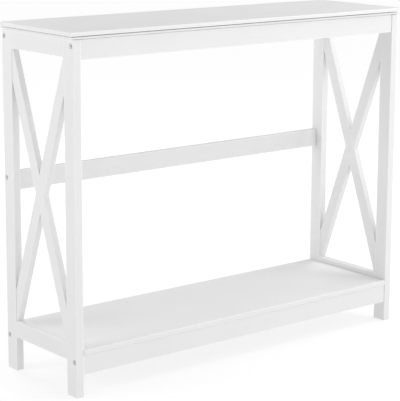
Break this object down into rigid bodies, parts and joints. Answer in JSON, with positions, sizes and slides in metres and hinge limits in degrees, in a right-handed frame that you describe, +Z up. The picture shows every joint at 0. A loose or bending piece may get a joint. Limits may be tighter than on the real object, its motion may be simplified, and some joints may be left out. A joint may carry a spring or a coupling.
{
  "type": "console table",
  "caption": "Narrow white console table with a stepped top, crossed braces in both end frames, a back stretcher and one low shelf.",
  "frame": {"origin": "on the floor, under the middle of the table", "axes": "+X along the table's length towards its right end, -Y towards the front, +Z up"},
  "size_m": [1, 0.296, 0.808],
  "materials": {
    "white_painted_wood": "smooth satin white paint over wood and fibreboard, with softly eased edges",
    "zinc_plated_steel": "zinc-plated steel, slightly dull",
    "beech_wood": "bare turned beech, unfinished"
  },
  "bodies": {
    "root": {"tabletop": "white_painted_wood", "left_front_leg": "white_painted_wood", "left_back_leg": "white_painted_wood", "left_top_side_rail": "white_painted_wood", "left_bottom_side_rail": "white_painted_wood", "left_brace_to_front_top": "white_painted_wood", "left_brace_to_back_top": "white_painted_wood", "right_front_leg": "white_painted_wood", "right_back_leg": "white_painted_wood", "right_top_side_rail": "white_painted_wood", "right_bottom_side_rail": "white_painted_wood", "right_brace_to_front_top": "white_painted_wood", "right_brace_to_back_top": "white_painted_wood", "shelf_panel": "white_painted_wood", "front_apron": "white_painted_wood", "back_apron": "white_painted_wood", "back_stretcher": "white_painted_wood", "front_shelf_rail": "white_painted_wood", "back_shelf_rail": "white_painted_wood", "left_front_apron_bolt": "zinc_plated_steel", "left_front_apron_barrel_nut": "zinc_plated_steel", "right_front_apron_bolt": "zinc_plated_steel", "right_front_apron_barrel_nut": "zinc_plated_steel", "left_back_apron_bolt": "zinc_plated_steel", "left_back_apron_barrel_nut": "zinc_plated_steel", "right_back_apron_bolt": "zinc_plated_steel", "right_back_apron_barrel_nut": "zinc_plated_steel", "left_back_stretcher_bolt": "zinc_plated_steel", "left_back_stretcher_barrel_nut": "zinc_plated_steel", "right_back_stretcher_bolt": "zinc_plated_steel", "right_back_stretcher_barrel_nut": "zinc_plated_steel", "left_front_shelf_rail_bolt": "zinc_plated_steel", "left_front_shelf_rail_barrel_nut": "zinc_plated_steel", "right_front_shelf_rail_bolt": "zinc_plated_steel", "right_front_shelf_rail_barrel_nut": "zinc_plated_steel", "left_back_shelf_rail_bolt": "zinc_plated_steel", "left_back_shelf_rail_barrel_nut": "zinc_plated_steel", "right_back_shelf_rail_bolt": "zinc_plated_steel", "right_back_shelf_rail_barrel_nut": "zinc_plated_steel", "front_middle_top_screw": "zinc_plated_steel", "back_middle_top_screw": "zinc_plated_steel", "left_front_top_screw": "zinc_plated_steel", "left_back_top_screw": "zinc_plated_steel", "right_front_top_screw": "zinc_plated_steel", "right_back_top_screw": "zinc_plated_steel", "left_front_apron_dowel": "beech_wood", "right_front_apron_dowel": "beech_wood", "left_back_apron_dowel": "beech_wood", "right_back_apron_dowel": "beech_wood", "left_back_stretcher_dowel": "beech_wood", "right_back_stretcher_dowel": "beech_wood", "left_front_shelf_rail_dowel": "beech_wood", "right_front_shelf_rail_dowel": "beech_wood", "left_back_shelf_rail_dowel": "beech_wood", "right_back_shelf_rail_dowel": "beech_wood", "left_front_shelf_peg": "beech_wood", "left_back_shelf_peg": "beech_wood", "right_front_shelf_peg": "beech_wood", "right_back_shelf_peg": "beech_wood"}
  },
  "joints": []
}
